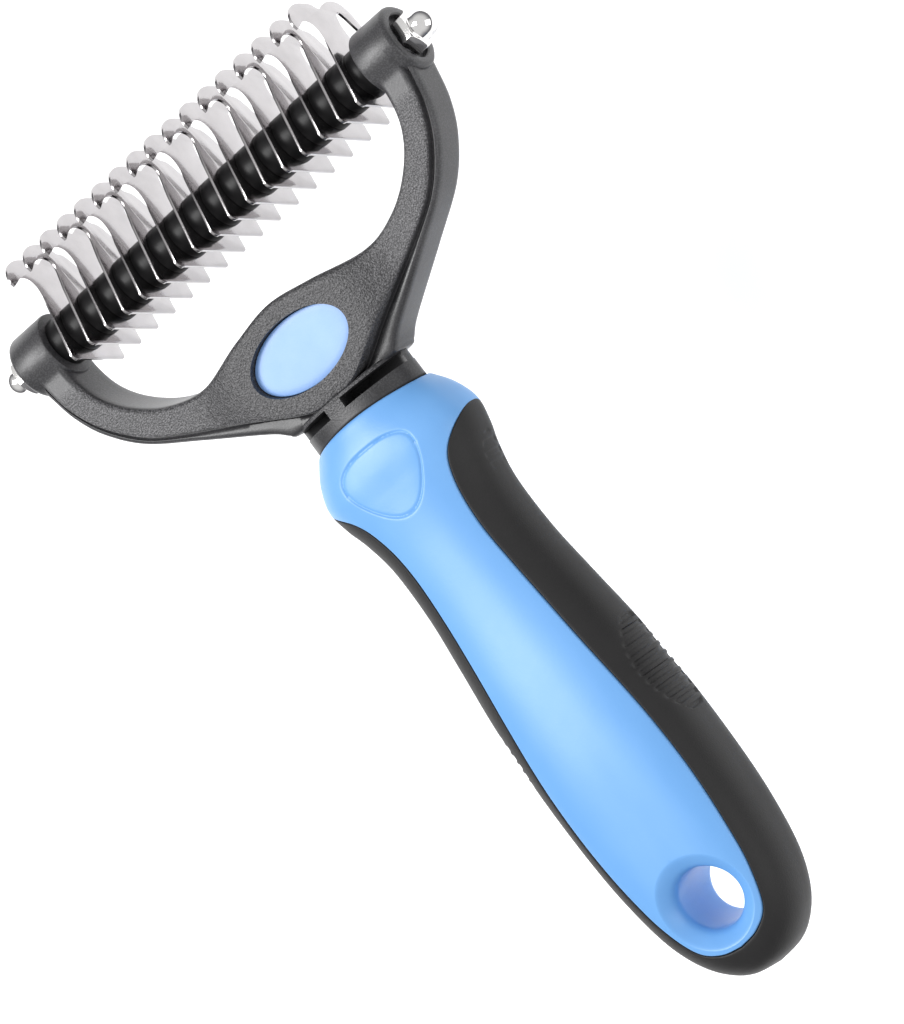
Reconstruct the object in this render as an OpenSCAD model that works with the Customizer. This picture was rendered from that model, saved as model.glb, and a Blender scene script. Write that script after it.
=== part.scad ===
// Double-sided dematting comb: a bar of hooked steel blades clamped in a moulded yoke
// on a two-colour handle. Millimetres. The origin is the middle of the hang hole,
// +Y runs along the handle to the blades, +X along the bar, +Z out of the side that
// has seventeen hooks.

/* [Head] */
// Distance from the hang hole to the axis of the bar
bar_y = 147.7; // [140:0.1:156]
// Number of blades in the stack
blade_count = 17; // [17:2:17]
// Spacing of the blades along the bar
blade_pitch = 4.75; // [4.6:0.05:4.8]
// Thickness of a blade
blade_t = 0.55; // [0.4:0.05:0.8]
// Sideways shift of the stack from the middle of the yoke
stack_shift = 0.6; // [0:0.1:0.8]
// Diameter of the spacer sleeves
sleeve_d = 9.5; // [8:0.1:10.5]
// Diameter of the threaded rod
rod_d = 4; // [3:0.5:4]
// Radial room between the rod and what it carries
rod_room = 0.06; // [0.03:0.01:0.1]

/* [Nuts] */
// Width of the acorn nuts across the flats
nut_af = 7; // [6.5:0.1:7.2]
// Length of the hexagon of an acorn nut
nut_hex_l = 3; // [2.6:0.1:3.4]
// Diameter of the dome of an acorn nut
dome_d = 5.6; // [5.4:0.1:6.2]
// Thickness of the lock washer under each nut
washer_t = 0.7; // [0.5:0.1:0.9]

/* [Yoke] */
// Half distance between the inner faces of the arm ends
arm_inner_x = 41.6; // [41.4:0.1:42]
// Half distance between the outer faces of the arm ends
arm_outer_x = 50.2; // [50:0.1:50.6]
// Radius of the boss that holds the rod
boss_r = 6.4; // [6:0.1:7]
// Half depth of the yoke's outer wall
wall_half_z = 4.3; // [3.8:0.1:4.6]
// Half depth of the raised grained faces of the arms
face_half_z = 5.3; // [4.9:0.1:5.6]
// Half depth of the hub round the badge
hub_half_z = 6.2; // [5.8:0.1:6.6]
// Middle of the badge along the handle
badge_y = 117.8; // [117:0.1:118.5]
// Half width of the badge
badge_half_x = 11.4; // [10:0.1:12]
// Half height of the badge
badge_half_y = 6.2; // [5.4:0.1:6.4]
// Half width of the neck collar
collar_half_x = 12.8; // [12.4:0.1:13]
// Half depth of the neck collar
collar_half_z = 7.5; // [7:0.1:8]

/* [Handle] */
// Top of the handle at its middle, where the collar enters it
handle_top = 102.7; // [102:0.1:103]
// Radius of the hang hole
hole_r = 5.9; // [5:0.1:6.2]
// Radius of the funnel at each mouth of the hang hole
funnel_r = 9; // [8:0.1:9.4]
// Thickness of the rubber round the sides
rubber_t = 2.6; // [2:0.1:3]

/* [Hidden] */
$fn = 64;
// Room between pieces that are moulded or pressed together
PAIR_GAP = 0.05;
// Room between flat faces that turn or lift on each other
SEAT_GAP = 0.02;

function two(i) = str(i < 10 ? "0" : "", i);
BLADES = [for (i = [1 : blade_count]) str("blade_", two(i))];
SLEEVES = [for (i = [1 : blade_count - 1]) str("sleeve_", two(i))];

rod_r = rod_d / 2;
bore_r = rod_r + rod_room;
nut_ac_r = nut_af / 2 / cos(30);
hex_turn = 45;
recess_r = nut_ac_r + 0.45;
recess_floor = arm_outer_x - 1.3;
sleeve_l = blade_pitch - blade_t;
function blade_x(i) = stack_shift + (i - (blade_count + 1) / 2) * blade_pitch;
stack_left = blade_x(1) - blade_t / 2;
stack_right = blade_x(blade_count) + blade_t / 2;

// A smooth curve through the points P, with n steps between neighbours
function curve_at(a, b, c, d, t) =
    ((2 * b) + (c - a) * t + (2 * a - 5 * b + 4 * c - d) * t * t
    + (3 * b - a - 3 * c + d) * t * t * t) / 2;
function curve(P, n) = [
    for (i = [0 : len(P) - 2]) for (k = [0 : n - 1])
        curve_at(P[max(i - 1, 0)], P[i], P[i + 1], P[min(i + 2, len(P) - 1)], k / n),
    P[len(P) - 1]];
function flipped(P) = [for (i = [len(P) - 1 : -1 : 0]) [-P[i][0], P[i][1]]];

// Yoke, right half, points from the neck up the outside of the arm
ARM_OUTSIDE = [[12.6, 107.2], [13.9, 108], [17.2, 110.6], [29, 117.6], [38.7, 123.6],
    [44.4, 129.6], [47.4, 135.2], [48.9, 141], [50.2, 147.7]];
// Yoke, right half, points down the inside of the window to the middle of the hub
ARM_INSIDE = [[41.6, 147.7], [42.2, 142.4], [40.6, 136], [36.3, 130.5], [29.6, 126.1],
    [21, 124.2], [9.5, 126.4], [0, 127.8]];
// Outer edge of the raised face, from the middle of the hub to the arm end
FACE_OUTSIDE = [[0, 107.9], [6, 108.4], [16.4, 113.7], [30.7, 120.7], [37.4, 124.7],
    [43, 130.6], [46.2, 136.4], [47.6, 142], [48.2, 147.7]];

module halves() {
    children();
    mirror([1, 0, 0]) children();
}

module yoke_outline() {
    right = concat(curve(ARM_OUTSIDE, 5), curve(ARM_INSIDE, 5));
    polygon(concat(right, flipped([for (i = [0 : len(right) - 2]) right[i]])));
}

module face_outline() {
    right = concat(curve(FACE_OUTSIDE, 5), curve(ARM_INSIDE, 5));
    polygon(concat(right, flipped([for (i = [1 : len(right) - 2]) right[i]])));
}

module slab(half_z) {
    translate([0, 0, -half_z]) linear_extrude(2 * half_z) children();
}

module oval(half_x, half_y) {
    polygon([for (k = [0 : 71]) [half_x * cos(5 * k), half_y * sin(5 * k)]]);
}

// A round bar along X between two places
module rod_x(x0, x1, r) {
    translate([x0, bar_y, 0]) rotate([0, 90, 0]) cylinder(r = r, h = x1 - x0);
}

// The collar that enters the handle, and the tang below it, made larger by room all round
collar_in = 9.3;
collar_l = 14.6;
tang_l = 44;
tang_half_x = 8.5;
tang_half_z = 4.5;
module neck(room) {
    translate([0, handle_top - collar_in - room, 0]) rotate([-90, 0, 0])
        linear_extrude(collar_l + room) oval(collar_half_x + room, collar_half_z + room);
    translate([-tang_half_x - room, handle_top - collar_in - tang_l - room, -tang_half_z - room])
        cube([2 * (tang_half_x + room), tang_l + 2, 2 * (tang_half_z + room)]);
}

// The two curved pockets either side of the neck's rib, front and back
module neck_slots() {
    slot_y = [105.2, 107.2];
    floor_scale = 0.35;
    rib_x = [-3.2, 0.8];
    web_half_z = 1.2;
    for (turn = [0, 180]) rotate([-90, turn, 0]) translate([0, 0, slot_y[0]])
        linear_extrude(slot_y[1] - slot_y[0]) difference() {
            translate([-15, -20]) square([30, 20 - web_half_z]);
            oval(collar_half_x * floor_scale, collar_half_z * floor_scale);
            translate([rib_x[0], -20]) square([rib_x[1] - rib_x[0], 20]);
        }
}

badge_room = 0.15;
pocket_depth = 1.6;
badge_t = 1.35;

module badge_pocket() {
    translate([0, badge_y, hub_half_z - pocket_depth])
        linear_extrude(pocket_depth + 1) oval(badge_half_x + badge_room, badge_half_y + badge_room);
}

module yoke() color("#3a3a3c") difference() {
    union() {
        slab(wall_half_z) yoke_outline();
        slab(face_half_z) face_outline();
        slab(hub_half_z) intersection() {
            face_outline();
            translate([0, badge_y + 1]) oval(badge_half_x + 5, badge_half_y + 4.6);
        }
        halves() rod_x(arm_inner_x, arm_outer_x, boss_r);
        neck(0);
    }
    rod_x(-60, 60, bore_r);
    halves() rod_x(recess_floor, 60, recess_r);
    badge_pocket();
    rotate([0, 180, 0]) badge_pocket();
    neck_slots();
    tang_holes(tang_hole_r);
}

// Two cross holes in the tang, which the core's plastic fills
tang_hole_r = 2.5;
module tang_holes(r) {
    for (y = [62, 78]) translate([0, y, -12]) cylinder(r = r, h = 24);
}

module badge() {
    translate([0, badge_y, hub_half_z - pocket_depth + PAIR_GAP]) linear_extrude(badge_t)
        oval(badge_half_x, badge_half_y);
}

module badge_front() color("#b7ddff") badge();
module badge_back() color("#b7ddff") rotate([0, 180, 0]) badge();

// Side view of a blade about the bar: x is along the handle, y out of the front face
FRONT_HOOK = [[11.8, 9.4], [12.9, 9.7], [14.3, 9.2], [15.6, 7.9], [16.2, 6], [16.2, 4],
    [15.6, 1.4]];
FRONT_MOUTH = [[12.9, 7.4], [13.4, 5.6], [13.2, 3.6], [12.1, 2.3], [10.6, 2.3],
    [8.6, 3.2], [6.6, 4.2]];
FRONT_EDGE = [[12.3, 7.8], [12.7, 6.6], [12.4, 5.4], [11.5, 4.4], [10, 4], [8.2, 4.2],
    [6.6, 4.6]];
TWIN_TOP = [[15.2, 0.4], [14, -1.1], [14.5, -2.8]];
BACK_HOOK = [[14.8, -4.8], [14.5, -6.8], [13.4, -8.5], [11.4, -9.5], [8.6, -9.9],
    [5.6, -10]];
BACK_MOUTH = [[6.2, -8.9], [8.8, -7.9], [10.8, -7.1], [12.1, -6.2], [12, -5.1],
    [10.4, -4.2], [8, -3.9], [5.4, -4.1]];
SINGLE_TOP = [[14.4, 0.5], [13.1, -0.5], [12.2, -2], [10.4, -3.1], [8, -4], [5.4, -4.6]];

// Points of an arc about c, from angle a0 to angle a1
function arc(c, r, a0, a1) = [for (k = [0 : 5]) let (a = a0 + (a1 - a0) * k / 5)
    [c[0] + r * cos(a), c[1] + r * sin(a)]];
function reversed(P) = [for (i = [len(P) - 1 : -1 : 0]) P[i]];
// The foot of a blade: front corner, heel point, and the corner back up to the body
FOOT = concat(arc([-3.9, 6.6], 1.35, 75, 196), arc([-7.3, -5.3], 1.05, 196, 270),
    arc([-5.5, -6], 0.8, 250, 345));

// twin blades have a second hook on their back; mouth is the inner edge of the front hook
function blade_outline(twin, mouth) = concat(
    FOOT,
    twin ? concat(reversed(BACK_MOUTH), reversed(BACK_HOOK), reversed(TWIN_TOP))
         : reversed(SINGLE_TOP),
    reversed(FRONT_HOOK),
    mouth);

// A flat plate across the bar, its outline given as places along Y and Z
module plate_x(x0, t) {
    translate([x0, bar_y, 0]) rotate([90, 0, 90]) linear_extrude(t) difference() {
        children();
        circle(r = bore_r);
    }
}

module blade(i) {
    twin = i % 2 == 1;
    x0 = blade_x(i) - blade_t / 2;
    color("#d5d7da") {
        plate_x(x0, blade_t) polygon(blade_outline(twin, FRONT_MOUTH));
        if (twin) plate_x(x0, 0.2) polygon(blade_outline(twin, FRONT_EDGE));
    }
}

// A plain tube on the rod between two places
module tube_x(x0, x1, r, hole) {
    difference() {
        rod_x(x0, x1, r);
        rod_x(x0 - 1, x1 + 1, hole);
    }
}

module sleeve(i) {
    x0 = blade_x(i) + blade_t / 2;
    color("#1d1d1f") tube_x(x0, x0 + sleeve_l, sleeve_d / 2, bore_r);
}

module end_sleeve_left() color("#1d1d1f")
    tube_x(-arm_inner_x, stack_left, sleeve_d / 2, bore_r);
module end_sleeve_right() color("#1d1d1f")
    tube_x(stack_right, arm_inner_x, sleeve_d / 2, bore_r);

washer_x = recess_floor + SEAT_GAP;
nut_x = washer_x + washer_t + SEAT_GAP;
dome_r = dome_d / 2;
dome_x = nut_x + nut_hex_l + 1.1;
thread_end = dome_x + 0.6;

module tie_rod() color("#b9bcc0") {
    chamfer = 0.5;
    end = thread_end - 0.6;
    rod_x(chamfer - end, end - chamfer, rod_r);
    halves() translate([end - chamfer, bar_y, 0]) rotate([0, 90, 0])
        cylinder(r1 = rod_r, r2 = rod_r - chamfer, h = chamfer);
}

// The neck and dome of a nut, as half a section along the nut's own axis
module dome_profile() {
    neck_start = nut_hex_l - 0.5;
    centre = dome_x - nut_x;
    intersection() {
        union() {
            translate([0, neck_start]) square([dome_r, centre - neck_start]);
            translate([0, centre]) circle(r = dome_r);
        }
        translate([0, neck_start]) square(20);
    }
}

// The hexagon of a nut, its corners turned off at both ends
module nut_hexagon() {
    seat_cut = 0.25;
    top_cut = 0.45;
    intersection() {
        rotate([0, 0, 60 - hex_turn]) cylinder(r = nut_ac_r, h = nut_hex_l, $fn = 6);
        rotate_extrude() polygon([[0, 0], [nut_ac_r - seat_cut, 0],
            [nut_ac_r + 0.05, seat_cut + 0.05], [nut_ac_r + 0.05, nut_hex_l - top_cut],
            [nut_ac_r - 0.7, nut_hex_l], [0, nut_hex_l]]);
    }
}

module acorn_nut() difference() {
    translate([nut_x, bar_y, 0]) rotate([0, 90, 0]) {
        nut_hexagon();
        rotate_extrude() dome_profile();
    }
    rod_x(nut_x - 1, thread_end, bore_r);
}

module washer() tube_x(washer_x, washer_x + washer_t, nut_af / 2 - 0.1, bore_r);

module nut_right() color("#e4e6e8") acorn_nut();
module nut_left() color("#e4e6e8") mirror([1, 0, 0]) acorn_nut();
module washer_right() color("#9a9da1") washer();
module washer_left() color("#9a9da1") mirror([1, 0, 0]) washer();

// Places along the handle, with its half width, half thickness and squareness there, where
// a squareness of 2 is an oval and a larger one is closer to a rectangle
STATIONS = [[handle_top, 12.3, 8.3, 2.05], [101.4, 13.3, 8.7, 2.1], [97.7, 16, 9.6, 2.2],
    [93.2, 17.5, 10.2, 2.3], [88.7, 16.8, 10, 2.3], [84.2, 15.3, 9.7, 2.3],
    [77.7, 14.1, 9.4, 2.3], [67.7, 14.2, 9.4, 2.3], [57.7, 15.3, 9.7, 2.3],
    [45, 16.6, 10.4, 2.4], [30, 17, 11, 2.6], [15, 16.6, 10.8, 2.8], [5, 15.7, 10.4, 2.8],
    [-3, 14.2, 9.8, 2.7], [-9, 11.7, 8.8, 2.5], [-13, 8.3, 7.2, 2.4], [-15.2, 4.6, 4.9, 2.3],
    [-16, 0.8, 1.2, 2.3]];
SECTION_POINTS = 28;
// Radius of the arched top, seen from the front
ARCH_R = 70;

function swell(v, squareness) = sign(v) * pow(abs(v), 2 / squareness);
function ring(s, inset) = [for (k = [0 : SECTION_POINTS - 1])
    let (a = 360 * k / SECTION_POINTS)
    [max(s[1] - inset, 0.4) * swell(cos(a), s[3]), s[0],
     max(s[2] - inset, 0.4) * swell(sin(a), s[3])]];

// The handle's form, made smaller by inset all round
module handle_form(inset) {
    rings = [for (s = curve(STATIONS, 2)) ring(s, inset)];
    n = SECTION_POINTS;
    last = len(rings) - 1;
    polyhedron(
        points = [for (r = rings) for (p = r) p],
        faces = concat(
            [[for (k = [0 : n - 1]) k]],
            [for (j = [0 : last - 1]) for (k = [0 : n - 1])
                let (a = j * n + k, b = j * n + (k + 1) % n) [a + n, b + n, b]],
            [for (j = [0 : last - 1]) for (k = [0 : n - 1])
                let (a = j * n + k, b = j * n + (k + 1) % n) [a + n, b, a]],
            [[for (k = [n - 1 : -1 : 0]) last * n + k]]));
}

// Right edge of the blue face, from the side of the shoulder down to the tail
BLUE_EDGE = [[22, 93.4], [17.5, 92.9], [11.9, 88.4], [9.4, 83], [8.4, 75.7], [8.8, 66.7],
    [10.2, 53], [12.2, 36], [12.8, 26], [12.7, 17], [11.9, 8], [10.6, 0.5], [8, -6.2],
    [4.2, -9], [0, -9.8]];

module blue_outline() {
    right = curve(BLUE_EDGE, 4);
    polygon(concat([[22, 110]], right, flipped([for (i = [0 : len(right) - 2]) right[i]]),
        [[-22, 110]]));
}

module hang_hole() {
    funnel_depth = 2.6;
    cylinder(r = hole_r, h = 40, center = true);
    for (turn = [0, 180]) rotate([turn, 0, 0]) translate([0, 0, 10.2 - funnel_depth])
        cylinder(r1 = hole_r, r2 = hole_r + (funnel_r - hole_r) * 2, h = 2 * funnel_depth);
}

module handle_core() color("#5aa9ee") difference() {
    intersection() {
        union() {
            intersection() {
                handle_form(0);
                slab(20) blue_outline();
            }
            handle_form(rubber_t);
        }
        slab(20) translate([0, handle_top - ARCH_R]) circle(r = ARCH_R, $fn = 128);
    }
    difference() {
        neck(PAIR_GAP);
        tang_holes(tang_hole_r - PAIR_GAP);
    }
    hang_hole();
}

module grip_band() color("#242426") difference() {
    handle_form(0);
    slab(20) blue_outline();
    handle_form(rubber_t);
}

yoke();
badge_front();
badge_back();
handle_core();
grip_band();
tie_rod();
end_sleeve_left();
end_sleeve_right();
washer_left();
washer_right();
nut_left();
nut_right();
for (i = [1 : blade_count]) blade(i);
for (i = [1 : blade_count - 1]) sleeve(i);
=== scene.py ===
# %% [markdown]
# # A double-sided dematting comb
# This lesson builds the looks of a pet groomer's comb round a finished frame. The frame already
# holds every piece at its real size and place, so each step takes its places from there. The
# plain pieces that the eye meets are then made again with the rounding, seams, ribs and grain of
# the real ones.

import math

import bpy
import numpy as np
from mathutils import Matrix, Vector


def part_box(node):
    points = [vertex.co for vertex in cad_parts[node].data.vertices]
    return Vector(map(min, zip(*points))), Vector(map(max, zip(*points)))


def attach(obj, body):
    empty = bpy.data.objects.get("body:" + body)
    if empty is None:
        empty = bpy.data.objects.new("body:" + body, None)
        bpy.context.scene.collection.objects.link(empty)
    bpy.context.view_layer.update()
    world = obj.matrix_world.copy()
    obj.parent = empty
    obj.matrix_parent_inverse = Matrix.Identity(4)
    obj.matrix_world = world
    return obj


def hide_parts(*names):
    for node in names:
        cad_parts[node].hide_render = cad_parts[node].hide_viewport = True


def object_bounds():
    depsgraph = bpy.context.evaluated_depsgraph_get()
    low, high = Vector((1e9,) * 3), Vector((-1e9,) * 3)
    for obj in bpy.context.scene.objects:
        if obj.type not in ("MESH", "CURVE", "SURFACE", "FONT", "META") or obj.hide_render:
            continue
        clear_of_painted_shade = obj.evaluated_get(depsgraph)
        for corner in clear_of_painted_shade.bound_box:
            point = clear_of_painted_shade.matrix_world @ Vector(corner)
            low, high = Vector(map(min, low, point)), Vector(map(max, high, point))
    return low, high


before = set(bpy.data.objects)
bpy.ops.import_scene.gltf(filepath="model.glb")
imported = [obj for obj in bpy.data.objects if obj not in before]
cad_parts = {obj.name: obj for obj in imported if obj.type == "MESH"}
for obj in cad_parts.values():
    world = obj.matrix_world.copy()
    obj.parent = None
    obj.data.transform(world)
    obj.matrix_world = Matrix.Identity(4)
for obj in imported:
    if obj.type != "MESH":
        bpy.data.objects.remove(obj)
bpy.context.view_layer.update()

MM = 0.001

# %% [markdown]
# The frame says where things are. The bar's middle, the blades' places and the arms' reach are all
# read from the boxes of its nodes, in millimetres, because a maker thinks in millimetres.


# %% Places read from the frame
def box_mm(node):
    low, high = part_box(node)
    return np.array(low) / MM, np.array(high) / MM


rod_low, rod_high = box_mm("tie_rod")
BAR_Y = (rod_low[1] + rod_high[1]) / 2
ROD_R = (rod_high[2] - rod_low[2]) / 2
BORE_R = ROD_R + 0.06
sleeve_low, sleeve_high = box_mm("sleeve_01")
SLEEVE_R = (sleeve_high[2] - sleeve_low[2]) / 2
BLADES = sorted(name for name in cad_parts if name.startswith("blade_"))
SLEEVES = sorted(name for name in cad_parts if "sleeve_" in name)
blade_low, blade_high = box_mm("blade_01")
BLADE_T = blade_high[0] - blade_low[0]
ARM_INNER = box_mm("end_sleeve_right")[1][0]
HUB_Z = box_mm("yoke")[1][2]
BADGE_LOW, BADGE_HIGH = box_mm("badge_front")
BADGE_Y = (BADGE_LOW[1] + BADGE_HIGH[1]) / 2
HANDLE_TOP = box_mm("handle_core")[1][1]
print("bar at y", round(BAR_Y, 2), "sleeves", round(SLEEVE_R, 2), "blades", len(BLADES), BLADE_T)

# %% [markdown]
# The camera comes first. It stands to the right of the comb, well above it, and is rolled so that
# the head points to the upper left. A long lens keeps the perspective as flat as it looks when a
# small thing is seen from most of a metre away.

# %% The camera
CAMERA_TARGET = Vector((1.0, 80.1, 0)) * MM
CAMERA_AZIMUTH = math.radians(81.26)
CAMERA_ELEVATION = math.radians(60.21)
CAMERA_DISTANCE = 0.868
CAMERA_ROLL = math.radians(36.86)
CAMERA_LENS = 175.7

back = Vector((math.sin(CAMERA_AZIMUTH) * math.cos(CAMERA_ELEVATION),
               -math.cos(CAMERA_AZIMUTH) * math.cos(CAMERA_ELEVATION),
               math.sin(CAMERA_ELEVATION)))
sideways = (-back).cross(Vector((0, 1, 0))).normalized()
upward = sideways.cross(-back)
turn = Matrix.Rotation(CAMERA_ROLL, 3, -back)
sideways, upward = turn @ sideways, turn @ upward
bpy.ops.object.camera_add()
camera = bpy.context.object
camera.matrix_world = Matrix.Translation(CAMERA_TARGET + back * CAMERA_DISTANCE) @ Matrix(
    (sideways, upward, back)).transposed().to_4x4()
camera.data.lens = CAMERA_LENS
camera.data.clip_start = 0.01
bpy.context.scene.camera = camera
print("camera at", tuple(round(v, 3) for v in camera.location))

# %% [markdown]
# Small helpers do the handwork that every piece needs. The main one lays a grid primitive over a
# surface given by a rule. A grid follows any smooth shape, keeps its squares in even rows, and so
# takes fine ribs and soft edges without a fault in the shading. The others clean a mesh, pick its
# faces and apply modifiers.

# %% Helpers for shaping
MERGE = 0.01 * MM


def only(*objects):
    """Leaves just these objects selected, the first of them active."""
    bpy.ops.object.select_all(action="DESELECT")
    for obj in objects:
        obj.select_set(True)
    bpy.context.view_layer.objects.active = objects[0]


def laid_grid(name, rows, columns, place):
    """A grid primitive whose point (row, column) lies at place(row, column), in millimetres."""
    bpy.ops.mesh.primitive_grid_add(x_subdivisions=columns - 1, y_subdivisions=rows - 1, size=1)
    piece = bpy.context.object
    piece.name = piece.data.name = name
    flat = np.empty(len(piece.data.vertices) * 3, np.float32)
    piece.data.vertices.foreach_get("co", flat)
    flat = flat.reshape(-1, 3)
    column = np.rint((flat[:, 0] + 0.5) * (columns - 1)).astype(int)
    row = np.rint((flat[:, 1] + 0.5) * (rows - 1)).astype(int)
    placed = np.stack(np.broadcast_arrays(*place(row, column)), axis=-1) * MM
    piece.data.vertices.foreach_set("co", placed.astype(np.float32).ravel())
    piece.data.update()
    return piece


def chosen(part, choices):
    """x, y and z of each point, from the pair of places and heights that its part names."""
    xy = np.select([(part == k)[:, None] for k in range(len(choices))], [c[0] for c in choices])
    z = np.select([part == k for k in range(len(choices))], [c[1] for c in choices])
    return xy[:, 0], xy[:, 1], z


def clean(piece):
    """Merges doubled points and turns every face outwards."""
    only(piece)
    bpy.ops.object.mode_set(mode="EDIT")
    bpy.ops.mesh.select_all(action="SELECT")
    bpy.ops.mesh.remove_doubles(threshold=MERGE)
    bpy.ops.mesh.dissolve_degenerate(threshold=MERGE / 2)
    bpy.ops.mesh.select_all(action="SELECT")
    bpy.ops.mesh.normals_make_consistent(inside=False)
    bpy.ops.object.mode_set(mode="OBJECT")
    return piece


def select_faces(piece, chosen):
    """Enters edit mode with just these faces selected."""
    only(piece)
    bpy.ops.object.mode_set(mode="EDIT")
    bpy.ops.mesh.select_mode(type="FACE")
    bpy.ops.mesh.select_all(action="DESELECT")
    bpy.ops.object.mode_set(mode="OBJECT")
    for polygon, take in zip(piece.data.polygons, chosen):
        polygon.select = bool(take)
    bpy.ops.object.mode_set(mode="EDIT")


def without_web(piece):
    """Deletes the faces that lie wholly in the plane x = 0, where the mirror joins the halves."""
    flat = [all(abs(piece.data.vertices[v].co.x) < 0.002 * MM for v in polygon.vertices)
            for polygon in piece.data.polygons]
    select_faces(piece, flat)
    bpy.ops.mesh.delete(type="FACE")
    bpy.ops.object.mode_set(mode="OBJECT")
    return piece


def modified(piece, kind, **settings):
    """Adds a modifier with these settings and applies it."""
    only(piece)
    modifier = piece.modifiers.new(kind.lower(), kind)
    for key, value in settings.items():
        setattr(modifier, key, value)
    bpy.ops.object.modifier_apply(modifier=modifier.name)
    return piece


def mirrored(piece):
    """Completes a piece of which a quarter is modelled, up to the planes x = 0 and z = 0."""
    return modified(piece, "MIRROR", use_axis=(True, False, True), use_clip=True,
                    merge_threshold=2 * MERGE)


def combined(piece, tool, operation):
    """Joins a tool to a piece or cuts it out, and takes the tool away."""
    modified(piece, "BOOLEAN", operation=operation, object=tool, solver="EXACT")
    bpy.data.objects.remove(tool)
    return piece


def smooth(piece, angle=32):
    only(piece)
    bpy.ops.object.shade_smooth_by_angle(angle=math.radians(angle))
    return piece


def smoothstep(value, low, high):
    t = np.clip((value - low) / (high - low), 0, 1)
    return t * t * (3 - 2 * t)


# %% [markdown]
# Outlines are drawn through a few given points. The curve between them is the same one that
# the frame's outlines use, so a piece made here meets its neighbours without any fitting.


# %% Helpers for outlines
def smooth_curve(points, steps=24, lead=None, trail=None):
    """A curve through the points. lead and trail are the points beyond its ends, if it goes on."""
    given = np.array(points, float)
    before, after = given[0] if lead is None else lead, given[-1] if trail is None else trail
    ends = np.vstack([before, given, after])
    t = np.arange(steps)[:, None] / steps
    spans = [((2 * b) + (c - a) * t + (2 * a - 5 * b + 4 * c - d) * t ** 2
              + (3 * b - a - 3 * c + d) * t ** 3) / 2
             for a, b, c, d in zip(ends, ends[1:], ends[2:], ends[3:])]
    return np.vstack([*spans, given[-1:]])


def along(path, share):
    """The places at given shares of a path's length."""
    run = np.concatenate([[0], np.cumsum(np.linalg.norm(np.diff(path, axis=0), axis=1))])
    run = run / run[-1]
    return np.stack([np.interp(share, run, path[:, k]) for k in range(path.shape[1])], axis=-1)


def spaced(*stretches):
    """Numbers along stretches given as (from, to, spacing), with the last end included."""
    parts = [np.linspace(a, b, max(2, round(abs(b - a) / step) + 1))[:-1]
             for a, b, step in stretches]
    return np.concatenate([*parts, [stretches[-1][1]]])


# %% [markdown]
# ## The handle
# The real handle is moulded in two shots: a hard blue core, then black rubber round its sides and
# tail. Its form is an oval that changes along its length, squarer towards the tail, given by a
# handful of stations. The front and back are mirror images, and so are the left and right, so only
# a quarter is laid out and the mirror makes the rest.

# %% The handle's form
# Each station: the place along the handle, the half width, the half depth and the squareness
STATIONS = [(HANDLE_TOP, 12.3, 8.3, 2.05), (101.4, 13.3, 8.7, 2.1), (97.7, 16, 9.6, 2.2),
            (93.2, 17.5, 10.2, 2.3), (88.7, 16.8, 10, 2.3), (84.2, 15.3, 9.7, 2.3),
            (77.7, 14.1, 9.4, 2.3), (67.7, 14.2, 9.4, 2.3), (57.7, 15.3, 9.7, 2.3),
            (45, 16.6, 10.4, 2.4), (30, 17, 11, 2.6), (15, 16.6, 10.8, 2.8), (5, 15.7, 10.4, 2.8),
            (-3, 14.2, 9.8, 2.7), (-9, 11.7, 8.8, 2.5), (-13, 8.3, 7.2, 2.4),
            (-15.2, 4.6, 4.9, 2.3), (-16, 0.02, 0.02, 2.3)]
stations = smooth_curve(STATIONS)
TAIL_Y = STATIONS[-1][0]


def station_value(y, column):
    return np.interp(-y, -stations[:, 0], stations[:, column])


def half_width(y):
    return station_value(y, 1)


def squareness(y):
    return station_value(y, 3)


def form_height(x, y):
    """How far the handle's front stands from its middle plane at (x, y)."""
    power = squareness(y)
    ratio = np.clip(np.abs(x) / half_width(y), 0, 1)
    return station_value(y, 2) * (1 - ratio ** power) ** (1 / power)


print("handle", round(2 * stations[:, 1].max(), 1), "wide,", round(HANDLE_TOP - TAIL_Y, 1), "long")

# %% [markdown]
# The line between blue and black starts at the side of the shoulder, runs down the front close to
# the middle, and closes round the tail. Every row of the two grids has one point on it, so both
# pieces share the line exactly. The rows lie closer together where the thumb pad and the ribs are.

# %% The line between core and rubber, and the rows across the handle
# Just below the shoulder the columns shift quickly from row to row, so a few rows lie very close
BLUE_EDGE = [(17.5, 92.9), (11.9, 88.4), (9.4, 83), (8.4, 75.7), (8.8, 66.7), (10.2, 53),
             (12.2, 36), (12.8, 26), (12.7, 17), (11.9, 8), (10.6, 0.5), (8, -6.2), (4.2, -9),
             (0, -9.8)]
SHOULDER_Y = BLUE_EDGE[0][1]
TURN_Y = 12.0
blue_edge = smooth_curve(BLUE_EDGE)
SHOULDER_DROPS = np.array([0, 0.012, 0.05, 0.11])
side_rows = spaced((SHOULDER_Y - 0.2, 82, 0.2), (82, 48, 1.2), (48, 26, 0.22), (26, TURN_Y, 1.0))
side_rows = np.concatenate([SHOULDER_Y - SHOULDER_DROPS, side_rows])
TAIL_ROWS = 60


def below(path, y):
    """The part of a path of (x, y) points that lies below y, starting exactly there."""
    start = (np.interp(-y, -path[:, 1], path[:, 0]), y)
    return np.vstack([start, path[path[:, 1] < y]])


def with_tail(path):
    """Points of a path at every side row, then evenly round the tail."""
    side = np.stack([np.interp(-side_rows, -path[:, 1], path[:, 0]), side_rows], axis=-1)
    tail = along(below(path, TURN_Y), np.linspace(0, 1, TAIL_ROWS + 1)[1:])
    return np.vstack([side, tail])


silhouette = stations[:, [1, 0]]
edge_rows = with_tail(blue_edge)
edge_rows[0, 0] = half_width(SHOULDER_Y)
rim_rows = with_tail(silhouette)
print("rows along the seam:", len(edge_rows))

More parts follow.
